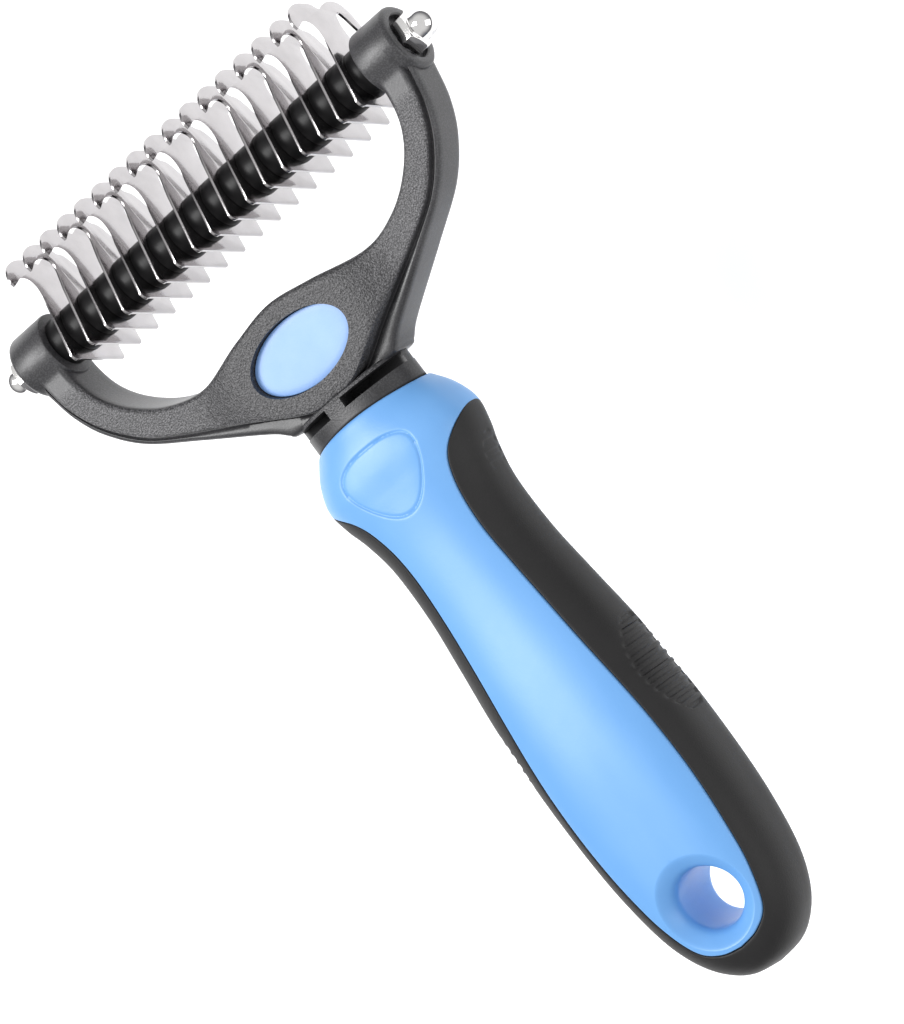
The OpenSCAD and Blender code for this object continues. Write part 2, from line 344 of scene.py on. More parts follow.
# %% [markdown]
# The rubber band is one skin: from its hidden inner face, up the wall at the seam, over a small
# rounding, and across to the side of the handle. The rounding leaves a fine valley at the seam,
# which is what shows as the dark line between the two materials. Solidify could give the thickness
# too, but the handle comes to a point at the shoulder, where drawing the inner face is safer.

# %% Rubber band: the skin
RUBBER_T = 2.2
SEAM_PROFILE = [(0.10, 2.2), (0.10, 0.55), (0.14, 0.26), (0.24, 0.09), (0.42, 0.0)]
SEAM_ROOM = 1.6
HIDDEN_COLUMNS = 4
SKIN_COLUMNS = 28


def seam_frame(edge, rim):
    """The way across each row, and how much of a full edge it has room for."""
    across = rim - edge
    width = np.linalg.norm(across, axis=-1)
    unit = across / np.maximum(width, 1e-6)[..., None]
    unit = np.where(width[..., None] > 1e-6, unit, (1.0, 0.0))
    return unit, width, np.clip(width / SEAM_ROOM, 0, 1)


def skin_share(edge, v):
    """Shares of the way from seam to rim, closer together where the side turns down."""
    power = squareness(edge[..., 1])
    ratio = np.clip(np.abs(edge[..., 0]) / half_width(edge[..., 1]), 0.55, 0.98)
    start = np.arccos(ratio ** (power / 2))
    across = np.cos(start * (1 - v)) ** (2 / power)
    return (across - ratio) / (1 - ratio)


def hidden_skin(edge, rim, share, depth):
    """The face below the surface at a share of the way across, this deep under it."""
    width = seam_frame(edge, rim)[1]
    outer = edge + (rim - edge) * share[..., None]
    shrink = np.clip(1 - depth / np.maximum(width, 1e-6), 0, 1)
    inner = edge + (outer - edge) * shrink[..., None]
    top = form_height(edge[..., 0], edge[..., 1])
    height = form_height(outer[..., 0], outer[..., 1]) * (1 - share ** 4)
    return inner, np.maximum(height - depth * height / np.maximum(top, 0.5), 0)


def band_place(row, column):
    edge, rim = edge_rows[row], rim_rows[row]
    unit, width, room = seam_frame(edge, rim)
    inner, inner_z = hidden_skin(edge, rim, np.clip(1 - column / HIDDEN_COLUMNS, 0, 1), RUBBER_T)
    over = column - HIDDEN_COLUMNS
    offset, drop = np.array(SEAM_PROFILE)[np.clip(over, 0, len(SEAM_PROFILE) - 1)].T
    wall = edge + unit * (offset * room)[:, None]
    wall_z = np.maximum(form_height(*wall.T) - drop * room, 0)
    share = skin_share(edge, np.clip((over - len(SEAM_PROFILE) + 1) / SKIN_COLUMNS, 0, 1))
    start = SEAM_PROFILE[-1][0] * room
    skin = edge + unit * (start + (width - start) * share)[:, None]
    skin_z = np.where(share > 0.9999, 0, form_height(*skin.T))
    part = np.where(over < 0, 0, np.where(over < len(SEAM_PROFILE), 1, 2))
    return chosen(part, [(inner, inner_z), (wall, wall_z), (skin, skin_z)])


columns = HIDDEN_COLUMNS + len(SEAM_PROFILE) + SKIN_COLUMNS
grip_band = laid_grid("grip_band_rubber", len(edge_rows), columns, band_place)
mirrored(clean(grip_band))
clean(grip_band)
print("rubber band faces:", len(grip_band.data.polygons))

# %% [markdown]
# Under the fingers the rubber has grooves across its sides, so that the strips left between them
# are ribs. They fill a lens-shaped patch, with a smaller and fainter one beside the thumb. They are
# sunk in the mesh itself, because their depth is seen where the side turns away.

# %% Rubber band: the ribs
# Each patch: its middle along the handle, half length, half depth and the depth of its grooves
RIB_PATCHES = [(37.6, 10.6, 6.6, 0.45), (83.6, 3.8, 3.2, 0.2)]
RIB_PITCH = 1.9
SIDE_SHARE = 0.86


def groove_depth(y, z):
    sunk = np.zeros_like(y)
    for middle, half_long, half_deep, deep in RIB_PATCHES:
        wave = np.cos(2 * math.pi * (y - middle) / RIB_PITCH)
        end = half_deep * np.sqrt(np.clip(1 - ((y - middle) / half_long) ** 2, 0, 1))
        inside = smoothstep(end - np.abs(z), 0, 0.7) * (np.abs(y - middle) < half_long)
        sunk = np.maximum(sunk, inside * smoothstep(wave, -0.45, 0.35) * deep)
    return sunk


points = np.empty(len(grip_band.data.vertices) * 3, np.float32)
normals = np.empty_like(points)
grip_band.data.vertices.foreach_get("co", points)
grip_band.data.vertices.foreach_get("normal", normals)
points, normals = points.reshape(-1, 3), normals.reshape(-1, 3)
outside = np.abs(points[:, 0]) / MM > half_width(points[:, 1] / MM) * SIDE_SHARE
sunk = groove_depth(points[:, 1] / MM, points[:, 2] / MM) * outside * MM
points -= normals * sunk[:, None]
grip_band.data.vertices.foreach_set("co", points.astype(np.float32).ravel())
grip_band.data.update()
smooth(grip_band, 60)
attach(grip_band, "body")
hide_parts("grip_band")
print("points sunk between the ribs:", int((sunk > 0).sum()))

# %% [markdown]
# The core is laid out the same way, from the middle line to the seam and then under the rubber. At
# its top the rows close over the socket that takes the yoke's neck and tang. Round the hang hole
# the rows bend into a fan, and extra columns run down its funnel and bore.

# %% Blue core: the thumb pad
PAD = [(0, 97.2), (4.5, 96.9), (7.6, 95.6), (8.6, 93.4), (7.7, 90.2), (5.2, 86.6), (2.6, 84.4),
       (0, 83.7)]
PAD_MIDDLE = 90.8
PAD_DEPTH = 0.16
PAD_DISH = 0.3
PAD_GROOVE = 0.22
pad_curve = smooth_curve(PAD, lead=(-4.5, 96.9), trail=(-2.6, 84.4))
pad_angle = np.arctan2(pad_curve[:, 1] - PAD_MIDDLE, pad_curve[:, 0])
pad_reach = np.hypot(pad_curve[:, 0], pad_curve[:, 1] - PAD_MIDDLE)


def pad_sink(x, y):
    """Depth of the thumb pad below the handle's form: a fine groove, then a shallow dish."""
    angle = np.arctan2(y - PAD_MIDDLE, np.abs(x))
    distance = np.hypot(x, y - PAD_MIDDLE)
    reach = np.interp(-angle, -pad_angle, pad_reach)
    inside = reach - distance
    dish = np.clip(1 - (distance / reach) ** 2, 0, 1) ** 1.5
    return (PAD_DEPTH * smoothstep(inside, -0.25, 0.25) + PAD_DISH * dish
            + PAD_GROOVE * np.exp(-(inside / 0.26) ** 2))


# %% Blue core: the surface
# The hang hole's bore and funnel: radius and drop below the surface
FUNNEL = smooth_curve([(5.9, 3.6), (6.0, 2.7), (6.5, 1.75), (7.4, 0.95), (8.5, 0.2), (9.0, 0.0)], 3)
COLLAR_X, COLLAR_Z = 12.8, 7.5
SOCKET_GAP = 0.25
COLLAR_END = 93.4
TANG_X, TANG_Z = 8.5, 4.5
TANG_END = 49.4
MOULD_GAP = 0.1
EDGE_ROUND = [(0.0, 0.0), (0.10, 0.03), (0.20, 0.14), (0.22, 0.40), (0.22, 2.3)]
CORE_COLUMNS = 100
ARCH_R = 70.0
# Rows of the socket: place, half width, half depth and squareness
SOCKET_ROWS = [(TANG_END - MOULD_GAP, 0.01, 0.01, 2),
               (TANG_END - MOULD_GAP, TANG_X + MOULD_GAP, TANG_Z + MOULD_GAP, 9),
               (COLLAR_END - MOULD_GAP, TANG_X + MOULD_GAP, TANG_Z + MOULD_GAP, 9),
               (COLLAR_END - MOULD_GAP, COLLAR_X + SOCKET_GAP, COLLAR_Z + SOCKET_GAP, 2)]
# Rows of the rim, from the socket outwards: drop below the top, and how far outside the collar
RIM_ROWS = [(0.4, 0.25), (0.06, 0.29), (0.0, 0.37)]
RIM_ROUND = [(0.02, 0.16), (0.12, 0.05)]
shoulder_rows = spaced((HANDLE_TOP - 0.3, SHOULDER_Y, 0.2))[:-1]
HOLE_TOP_ROWS = 4


def arched_end(y):
    """The side end of a row near the top, which bends down as the top is arched."""
    fade = smoothstep(y, SHOULDER_Y, HANDLE_TOP)
    reach = half_width(y)
    for _ in range(8):
        reach = half_width(y - fade * reach ** 2 / (2 * ARCH_R))
    return np.array((reach, y - fade * reach ** 2 / (2 * ARCH_R)))


def core_rows():
    """For every row: the middle-line point, the seam point, the rim point and the oval's shape."""
    table = [((0, y), (w, y), (w, y), d, p) for y, w, d, p in SOCKET_ROWS]
    for drop, outside in RIM_ROWS:
        reach = COLLAR_X + outside
        end = (reach, HANDLE_TOP - drop - reach ** 2 / (2 * ARCH_R))
        table.append(((0, HANDLE_TOP - drop), end, end, COLLAR_Z + outside, 2))
    for drop, inset in RIM_ROUND:
        y = HANDLE_TOP - drop
        end = arched_end(y) - (inset, 0)
        table.append(((0, y), end, end, form_height(0, y) - inset, squareness(y)))
    for y in shoulder_rows:
        table.append(((0, y), arched_end(y), arched_end(y), 0, 0))
    table += [((0, y), e, r, 0, 0) for y, e, r in zip(side_rows, edge_rows, rim_rows)]
    turn = np.radians(np.linspace(90, -90, TAIL_ROWS - HOLE_TOP_ROWS + 1))[1:]
    above = [(0, y) for y in np.linspace(TURN_Y, FUNNEL[-1, 0], HOLE_TOP_ROWS + 1)[1:]]
    round_hole = np.stack([np.cos(turn), np.sin(turn)], axis=-1) * FUNNEL[-1, 0]
    table += [(m, e, r, 0, 0) for m, e, r in zip(
        [*above, *round_hole], edge_rows[len(side_rows):], rim_rows[len(side_rows):])]
    return [np.array(part, float) for part in zip(*table)]


core_middle, core_edge, core_rim, core_deep, core_power = core_rows()
on_funnel = np.hypot(*core_middle.T) < FUNNEL[-1, 0] + 1e-6
bends = core_edge[:, 1] < core_middle[:, 1] - 1e-6
bends &= core_middle[:, 1] > SHOULDER_Y
FUNNEL_COLUMNS = len(FUNNEL)


def core_place(row, column):
    middle, edge, rim = core_middle[row], core_edge[row], core_rim[row]
    unit, width, room = seam_frame(edge, rim)
    formed = core_power[row] == 0
    # the funnel and bore, which only the rows round the hole have
    step = np.clip(column - 1, 0, FUNNEL_COLUMNS - 1)
    radius, drop = FUNNEL[step].T
    scale = np.where(on_funnel[row], radius / FUNNEL[-1, 0], 1)
    funnel = middle * scale[:, None]
    funnel_z = form_height(*middle.T) - pad_sink(*middle.T) - np.where(on_funnel[row], drop, 0)
    funnel_z = np.where((column == 0) & on_funnel[row], 0, funnel_z)
    # the blue surface
    v = np.clip((column - FUNNEL_COLUMNS) / CORE_COLUMNS, 0, 1)
    ratio = np.clip(edge[:, 0] / half_width(edge[:, 1]), 0.2, 1)
    ratio = np.where(formed, ratio, 1)
    power = np.where(formed, squareness(edge[:, 1]), core_power[row])
    last = np.arccos(ratio ** (power / 2))
    angle = math.pi / 2 - v * (math.pi / 2 - last)
    share = np.cos(angle) ** (2 / power) / ratio
    share = np.where(v >= 1, 1, np.where(v <= 0, 0, share))
    lip = EDGE_ROUND[-1][0] * room
    seam = edge - unit * lip[:, None]
    surface = middle + (seam - middle) * share[:, None]
    surface[:, 1] = np.where(bends[row], middle[:, 1] + (seam - middle)[:, 1] * share ** 2,
                             surface[:, 1])
    form_z = form_height(surface[:, 0], surface[:, 1]) - pad_sink(surface[:, 0], surface[:, 1])
    oval_z = core_deep[row] * np.clip(np.sin(angle), 0, 1) ** (2 / power)
    surface_z = np.where(formed, form_z, oval_z)
    surface_z = np.where((v >= 1) & (width < 1e-6), 0, surface_z)
    # the rounded edge at the seam and the face below the rubber
    over = column - FUNNEL_COLUMNS - CORE_COLUMNS
    step = np.clip(over, 0, len(EDGE_ROUND) - 1)
    offset, drop = np.array(EDGE_ROUND)[step].T
    rounded = seam + unit * (offset * room)[:, None]
    rounded_z = np.maximum(form_height(rounded[:, 0], rounded[:, 1]) - drop * room, 0)
    under = np.clip((over - len(EDGE_ROUND) + 1) / HIDDEN_COLUMNS, 0, 1)
    hidden, hidden_z = hidden_skin(edge, rim, under, RUBBER_T + 0.1)
    part = np.where(column < FUNNEL_COLUMNS, 0, np.where(over <= 0, 1, np.where(under <= 0, 2, 3)))
    part = np.where((part > 1) & (width < 1e-6), 4, part)
    choices = [(funnel, funnel_z), (surface, surface_z), (rounded, rounded_z), (hidden, hidden_z),
               (edge, np.zeros(len(row)))]
    x, y, z = chosen(part, choices)
    return x, y, np.where((column < FUNNEL_COLUMNS) & ~formed, core_deep[row], z)


columns = FUNNEL_COLUMNS + CORE_COLUMNS + len(EDGE_ROUND) + HIDDEN_COLUMNS
handle_core = laid_grid("handle_core_blue", len(core_middle), columns, core_place)
mirrored(without_web(clean(handle_core)))
clean(handle_core)
smooth(handle_core, 40)
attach(handle_core, "body")
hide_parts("handle_core")
print("core faces:", len(handle_core.data.polygons))

# %% [markdown]
# ## The yoke
# The yoke is one moulding of black plastic: two arms round an open window, a hub with the badge,
# and a neck. Its section is the same idea all along: an inside wall, a raised grained face with
# rounded edges, a thin valley, and a smooth outer wall set lower. That section is laid out along
# three outlines, so the valley and the roundings stay even round the bends. Bevelling two extruded
# plates was the other way, but a bevel can't let the face swell up round the badge.

# %% Yoke: the three outlines
INSIDE = [(0, 127.8), (9.5, 126.4), (21, 124.2), (29.6, 126.1), (36.3, 130.5), (40.6, 136),
          (42.2, 142.4), (ARM_INNER, BAR_Y)]
FACE_EDGE = [(0, 107.9), (6, 108.4), (16.4, 113.7), (30.7, 120.7), (37.4, 124.7), (43, 130.6),
             (46.2, 136.4), (47.6, 142), (48.2, BAR_Y)]
WALL_EDGE = [(0, 107.2), (6.5, 107.2), (12.6, 107.2), (13.9, 108), (17.2, 110.6), (29, 117.6),
             (38.7, 123.6), (44.4, 129.6), (47.4, 135.2), (48.9, 141), (50.2, BAR_Y)]
FACE_Z = 5.3
WALL_Z = 4.3
BOSS_R = 6.4
YOKE_ROWS = 190
WALL_ROOM = 1.7


def mirrored_lead(points):
    return (-points[1][0], points[1][1])


row_share = np.linspace(0, 1, YOKE_ROWS)
yoke_lines = [along(smooth_curve(line, lead=mirrored_lead(line)), row_share)
              for line in (INSIDE, FACE_EDGE, WALL_EDGE)]


def face_height(x, y):
    """The raised face: flat along the arms, swelling to the hub and to the bosses."""
    hub = np.hypot(x / 17.5, (y - BADGE_Y) / 12.5)
    swell = (HUB_Z - FACE_Z) * (1 - smoothstep(hub, 0.8, 1.5))
    boss = np.sqrt(np.maximum(BOSS_R ** 2 - (y - BAR_Y) ** 2, 0.01)) - FACE_Z
    return FACE_Z + np.maximum(swell, 0) + np.logaddexp(0, boss / 0.25) * 0.25


# Each point of the section: which outline it hangs on, its offset across, its height, and whether
# the height is counted down from the face (1) or up from the middle (0)
INSIDE_ROUND = [(0, 0.0, 2.2, 1), (0, 0.0, 1.1, 1), (0, 0.09, 0.66, 1), (0, 0.32, 0.32, 1),
                (0, 0.66, 0.09, 1), (0, 1.1, 0.0, 1)]
VALLEY = [(1, -0.5, 0.0, 1), (1, -0.19, 0.07, 1), (1, -0.04, 0.26, 1), (1, 0.0, 0.55, 1),
          (1, 0.08, 3.95, 0), (1, 0.2, 3.78, 0), (1, 0.38, 3.76, 0), (1, 0.56, 3.9, 0),
          (1, 0.72, 4.08, 0)]
OUTER_ROUND = [(2, -0.85, 4.26, 0), (2, -0.5, 4.12, 0), (2, -0.2, 3.8, 0), (2, -0.05, 3.3, 0),
               (2, 0.0, 2.6, 0), (2, 0.0, 0.0, 0)]
FACE_COLUMNS = 14
FACE_START, FACE_END, WALL_START, WALL_END = (
    part[1] for part in (INSIDE_ROUND[-1], VALLEY[0], VALLEY[-1], OUTER_ROUND[0]))
section = [(0, 0.0, 0.0, 0), *INSIDE_ROUND,
           *[(3, k / FACE_COLUMNS, 0.0, 1) for k in range(1, FACE_COLUMNS)], *VALLEY,
           (4, 0.5, 4.25, 0), *OUTER_ROUND]
section = np.array(section)


def yoke_place(row, column):
    inner, face, wall = (line[row] for line in yoke_lines)
    across = face - inner
    unit = across / np.linalg.norm(across, axis=1)[:, None]
    outward = wall - face
    room = np.clip(np.linalg.norm(outward, axis=1) / WALL_ROOM, 0, 1)[:, None]
    outward = outward / np.linalg.norm(outward, axis=1)[:, None]
    line, offset, height, from_face = section[column].T
    amount = offset[:, None]
    face_start, face_end = inner + unit * FACE_START, face + unit * FACE_END
    wall_start, wall_end = face + outward * WALL_START * room, wall + outward * WALL_END * room
    choices = [inner + unit * amount, face + np.where(amount < 0, unit, outward * room) * amount,
               wall + outward * room * amount, face_start + (face_end - face_start) * amount,
               wall_start + (wall_end - wall_start) * amount]
    xy = np.select([(line == k)[:, None] for k in range(5)], choices)
    xy[:, 0] = np.where(row == 0, 0, xy[:, 0])
    z = np.where(from_face == 1, face_height(xy[:, 0], xy[:, 1]) - height, height)
    return xy[:, 0], xy[:, 1], z


yoke = laid_grid("yoke_moulding", YOKE_ROWS, len(section), yoke_place)
mirrored(clean(yoke))
only(yoke)
bpy.ops.object.mode_set(mode="EDIT")
bpy.ops.mesh.select_mode(type="EDGE")
bpy.ops.mesh.select_all(action="DESELECT")
bpy.ops.mesh.select_non_manifold()
bpy.ops.mesh.edge_face_add()
bpy.ops.object.mode_set(mode="OBJECT")
print("yoke skin faces:", len(yoke.data.polygons))

# %% [markdown]
# Turned shapes, such as the bosses, the nuts and the sleeves, are laid round the bar from half a
# section: pairs of a place along the bar and a radius.


# %% Turned pieces and blocks
def turned(name, profile, steps=96, side=1, start=0.0):
    """A solid turned round the bar from (place, radius) pairs, counted outwards from a start."""
    profile = np.array([(side * (start + place), radius) for place, radius in profile], float)

    def place(row, column):
        angle = 2 * math.pi * row / steps
        along_bar, radius = profile[column].T
        return along_bar, BAR_Y + radius * np.cos(angle), radius * np.sin(angle)
    return clean(laid_grid(name, steps + 1, len(profile), place))


def block(low, high):
    """A box primitive between two corners, in millimetres."""
    low, high = np.array(low, float), np.array(high, float)
    bpy.ops.mesh.primitive_cube_add(size=1, location=tuple((low + high) / 2 * MM))
    piece = bpy.context.object
    piece.scale = tuple((high - low) * MM)
    bpy.ops.object.transform_apply(location=True, rotation=False, scale=True)
    return piece


def oval(half_sizes, middle, depth, lying=False):
    """An oval column, upright or lying along the handle, from its half sizes, middle and length."""
    bpy.ops.mesh.primitive_cylinder_add(
        vertices=128, radius=MM, depth=depth * MM, rotation=(math.pi / 2 if lying else 0, 0, 0),
        location=tuple(v * MM for v in middle))
    piece = bpy.context.object
    piece.scale = (*half_sizes, 1)
    bpy.ops.object.transform_apply(location=True, rotation=True, scale=True)
    return piece


# %% [markdown]
# The moulding is completed as a toolmaker would cut it: the bosses, the neck and the tang are
# joined on, then the nut recesses, the rod's bore, the badge pockets and the two slots at the
# front and back of the neck are cut out.

# %% Yoke: bosses, neck and cuts
ARM_OUTER = WALL_EDGE[-1][0]
NUT_BASE, NUT_TIP = (corner[0] for corner in box_mm("nut_right"))
NUT_FLATS = 7
NUT_AC_R = NUT_FLATS / 2 / math.cos(math.radians(30))
RECESS_R = NUT_AC_R + 0.45
RECESS_FLOOR = box_mm("washer_right")[0][0] - 0.02
ROUND = 0.9
NECK_END = 108
BADGE_ROOM = 0.15
SLOT = (105.2, 107.2)
SLOT_REACHES = ((-15, -3.2), (0.8, 15))
SLOT_WEB = 1.2
SLOT_FLOOR = 0.35
CROSS_HOLES_Y = (62, 78)
CROSS_HOLE_R = 2.5

for side in (-1, 1):
    reach = [(ARM_INNER, 0), (ARM_INNER, BOSS_R - 0.5), (ARM_INNER + 0.15, BOSS_R - 0.15),
             (ARM_INNER + 0.5, BOSS_R), (ARM_OUTER - ROUND, BOSS_R),
             (ARM_OUTER - ROUND * 0.5, BOSS_R - 0.13), (ARM_OUTER - ROUND * 0.13, BOSS_R - 0.45),
             (ARM_OUTER, BOSS_R - ROUND), (ARM_OUTER, 0)]
    combined(yoke, turned("boss", reach, side=side), "UNION")
neck = oval((COLLAR_X, COLLAR_Z), (0, (COLLAR_END + NECK_END) / 2, 0), NECK_END - COLLAR_END, True)
modified(neck, "BEVEL", width=0.3 * MM, segments=1, limit_method="ANGLE")
tang = block((-TANG_X, TANG_END, -TANG_Z), (TANG_X, COLLAR_END + 2, TANG_Z))
combined(yoke, combined(neck, tang, "UNION"), "UNION")
recess = [(RECESS_FLOOR, 0), (RECESS_FLOOR, RECESS_R), (ARM_OUTER - 0.25, RECESS_R),
          (ARM_OUTER + 0.1, RECESS_R + 0.35), (ARM_OUTER + 3, RECESS_R + 0.35), (ARM_OUTER + 3, 0)]
bore = [(30, 0), (30, BORE_R), (60, BORE_R), (60, 0)]
for side in (-1, 1):
    combined(yoke, turned("recess", recess, side=side), "DIFFERENCE")
    combined(yoke, turned("bore", bore, 48, side), "DIFFERENCE")
badge_half = (BADGE_HIGH[0] + BADGE_ROOM, (BADGE_HIGH[1] - BADGE_LOW[1]) / 2 + BADGE_ROOM)
pocket_floor, pocket_top = BADGE_LOW[2] - 0.05, HUB_Z + 2
for side in (-1, 1):
    pocket = oval(badge_half, (0, BADGE_Y, side * (pocket_floor + pocket_top) / 2),
                  pocket_top - pocket_floor)
    combined(yoke, pocket, "DIFFERENCE")
for face in (-1, 1):
    for reach in SLOT_REACHES:
        low_x, high_x = sorted(face * x for x in reach)
        low_z, high_z = sorted((face * SLOT_WEB, face * 9))
        slot_block = block((low_x, SLOT[0], low_z), (high_x, SLOT[1], high_z))
        heart = oval((COLLAR_X * SLOT_FLOOR, COLLAR_Z * SLOT_FLOOR), (0, sum(SLOT) / 2, 0),
                     SLOT[1] - SLOT[0] + 2, True)
        combined(slot_block, heart, "DIFFERENCE")
        combined(yoke, slot_block, "DIFFERENCE")
for y in CROSS_HOLES_Y:
    bpy.ops.mesh.primitive_cylinder_add(vertices=48, radius=CROSS_HOLE_R * MM, depth=20 * MM,
                                        location=(0, y * MM, 0))
    combined(yoke, bpy.context.object, "DIFFERENCE")
smooth(yoke, 34)
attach(yoke, "body")
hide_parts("yoke")
print("yoke faces:", len(yoke.data.polygons))

# %% [markdown]
# The badge is a thin oval pressed into a pocket on each side of the hub. It has a softened rim and
# the slightest crown, so that it catches the light as one even sheet. It stays blank.

# %% Badges
BADGE_CROWN = 0.08


def badge(name, side):
    low, high = box_mm(name)
    top = high[2] - BADGE_CROWN
    piece = oval((high[0], (high[1] - low[1]) / 2), (0, BADGE_Y, (low[2] + top) / 2), top - low[2])
    select_faces(piece, [polygon.normal.z * side > 0.9 for polygon in piece.data.polygons])
    for inset, rise in ((0.05, 0.05), (0.09, 0.02), (1.2, 0.006), (1.2, 0.004)):
        bpy.ops.mesh.inset(thickness=inset * MM)
        bpy.ops.transform.translate(value=(0, 0, side * rise * MM))
    bpy.ops.object.mode_set(mode="OBJECT")
    piece.name = piece.data.name = name + "_plate"
    smooth(piece, 50)
    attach(piece, "body")
    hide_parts(name)
    return piece


badges = [badge("badge_front", 1), badge("badge_back", -1)]
print("badge half sizes:", [round(half - BADGE_ROOM, 2) for half in badge_half])

# %% [markdown]
# ## The blades
# The blades are stamped from thin stainless sheet and polished. Every second one has a hook on
# both sides, the others on the front only. The hooks' inner edges do the cutting, so on the twin
# blades that edge is ground to a slope. One blade of each kind is cut from a disc of points, drawn
# out to the sheet's thickness and given a fine edge, then copied along the bar.

# %% Blades: outlines as (along the handle from the bar, out of the front)
FRONT_HOOK = [(15.6, 1.4), (16.2, 4), (16.2, 6), (15.6, 7.9), (14.3, 9.2), (12.9, 9.7), (11.8, 9.4)]
FRONT_MOUTH = [(12.9, 7.4), (13.4, 5.6), (13.2, 3.6), (12.1, 2.3), (10.6, 2.3), (8.6, 3.2),
               (6.6, 4.2)]
FRONT_GROUND = [(12.3, 7.8), (12.7, 6.6), (12.4, 5.4), (11.5, 4.4), (10, 4), (8.2, 4.2),
                (6.6, 4.6)]
TWIN_TOP = [(14.5, -2.8), (14, -1.1), (15.2, 0.4)]
BACK_HOOK = [(5.6, -10), (8.6, -9.9), (11.4, -9.5), (13.4, -8.5), (14.5, -6.8), (14.8, -4.8)]
BACK_MOUTH = [(5.4, -4.1), (8, -3.9), (10.4, -4.2), (12, -5.1), (12.1, -6.2), (10.8, -7.1),
              (8.8, -7.9), (6.2, -8.9)]
SINGLE_TOP = [(5.4, -4.6), (8, -4), (10.4, -3.1), (12.2, -2), (13.1, -0.5), (14.4, 0.5)]


def arc(centre, radius, first, last, steps=12):
    angle = np.radians(np.linspace(first, last, steps + 1))
    return np.array(centre) + radius * np.stack([np.cos(angle), np.sin(angle)], axis=-1)


FOOT = np.vstack([arc((-3.9, 6.6), 1.35, 75, 196), arc((-7.3, -5.3), 1.05, 196, 270),
                  arc((-5.5, -6), 0.8, 250, 345)])
CURVE_STEPS = 5
GROUND_LAND = 0.1


def blade_outline(twin, mouth):
    top = [*(TWIN_TOP if twin else SINGLE_TOP), FRONT_HOOK[0]]
    back_side = [BACK_MOUTH, BACK_HOOK] if twin else []
    curves = [smooth_curve(line, CURVE_STEPS) for line in (*back_side, top, FRONT_HOOK, mouth)]
    curves[-3] = curves[-3][:-1]
    return np.vstack([FOOT, *curves])


def cut_blade(twin):
    """One blade round the bar's axis, its middle at x = 0."""
    outline = blade_outline(twin, FRONT_MOUTH)
    ground = blade_outline(twin, FRONT_GROUND if twin else FRONT_MOUTH)
    bpy.ops.mesh.primitive_circle_add(vertices=len(outline), radius=MM, fill_type="NGON")
    piece = bpy.context.object
    for vertex, (y, z) in zip(piece.data.vertices, outline):
        vertex.co = (-BLADE_T / 2 * MM, (BAR_Y + y) * MM, z * MM)
    bpy.ops.object.mode_set(mode="EDIT")
    bpy.ops.mesh.select_all(action="SELECT")
    land = GROUND_LAND if twin else BLADE_T / 2
    for step in (land, BLADE_T - land):
        bpy.ops.mesh.extrude_region_move(TRANSFORM_OT_translate={"value": (step * MM, 0, 0)})
    bpy.ops.object.mode_set(mode="OBJECT")
    far = [v for v in piece.data.vertices if v.co.x > (BLADE_T / 2 - 0.01) * MM]
    for vertex in far:
        flat = np.array((vertex.co.y / MM - BAR_Y, vertex.co.z / MM))
        nearest = np.argmin(np.hypot(*(outline - flat).T))
        vertex.co.y, vertex.co.z = (BAR_Y + ground[nearest][0]) * MM, ground[nearest][1] * MM
    return clean(piece)


def rim_edges(piece):
    """Selects the edges round the flat faces that look along the bar."""
    select_faces(piece, [abs(polygon.normal.x) > 0.99 and len(polygon.vertices) > 20
                         for polygon in piece.data.polygons])
    bpy.ops.mesh.region_to_loop()


BLADE_EDGE = 0.07
blade_patterns = {}
for twin in (True, False):
    pattern = cut_blade(twin)
    rim_edges(pattern)
    bpy.ops.mesh.bevel(offset=BLADE_EDGE * MM, segments=2, affect="EDGES", clamp_overlap=True)
    bpy.ops.object.mode_set(mode="OBJECT")
    hole = turned("hole", [(-1, 0), (-1, BORE_R), (1, BORE_R), (1, 0)], 48)
    combined(pattern, hole, "DIFFERENCE")
    smooth(pattern, 25)
    blade_patterns[twin] = pattern
    print("blade pattern,", "twin" if twin else "single", len(pattern.data.polygons), "faces")


def copied(pattern, name, node, shift, body="body"):
    """A copy of a pattern with its own mesh, moved along the bar, standing for a frame node."""
    piece = bpy.data.objects.new(name, pattern.data.copy())
    piece.data.name = name
    bpy.context.scene.collection.objects.link(piece)
    piece.data.transform(Matrix.Translation((shift * MM, 0, 0)))
    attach(piece, body)
    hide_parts(node)
    return piece


blades = []
for node in BLADES:
    low, high = box_mm(node)
    twin = low[2] < blade_low[2] + 0.5
    blades.append(copied(blade_patterns[twin], node + "_polished", node, (low[0] + high[0]) / 2))
for pattern in blade_patterns.values():
    bpy.data.objects.remove(pattern)
print("blades on the bar:", len(blades))

# %% [markdown]
# ## The bar
# Black sleeves keep the blades apart. Each is a moulded tube, its rims slightly rounded, so the bar
# reads as a row of short lengths and not as one rod.

# %% Spacer sleeves
SLEEVE_ROUND = 0.1


def sleeve(node):
    low, high = box_mm(node)
    start, end, r, c = low[0], high[0], SLEEVE_R, SLEEVE_ROUND
    profile = [(start, BORE_R), (start, r - c), (start + c * 0.3, r - c * 0.3), (start + c, r),
               (end - c, r), (end - c * 0.3, r - c * 0.3), (end, r - c), (end, BORE_R),
               (start, BORE_R)]
    piece = turned(node + "_tube", profile, 72)
    smooth(piece, 40)
    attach(piece, "body")
    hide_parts(node)
    return piece


sleeves = [sleeve(node) for node in SLEEVES]
print("sleeves:", len(sleeves), "faces each:", len(sleeves[0].data.polygons))

# %% [markdown]
# The acorn nuts are chromed: a hexagon with its corners turned off, a short neck and a dome. The
# hexagon is a six-sided cylinder with its upright edges softened. Its corners are then turned off
# by keeping only what lies inside a turned shape, as on a lathe.

# %% Acorn nuts
HEX_LENGTH = 3.0
DOME_R = 2.8
HEX_TURN = 45.0


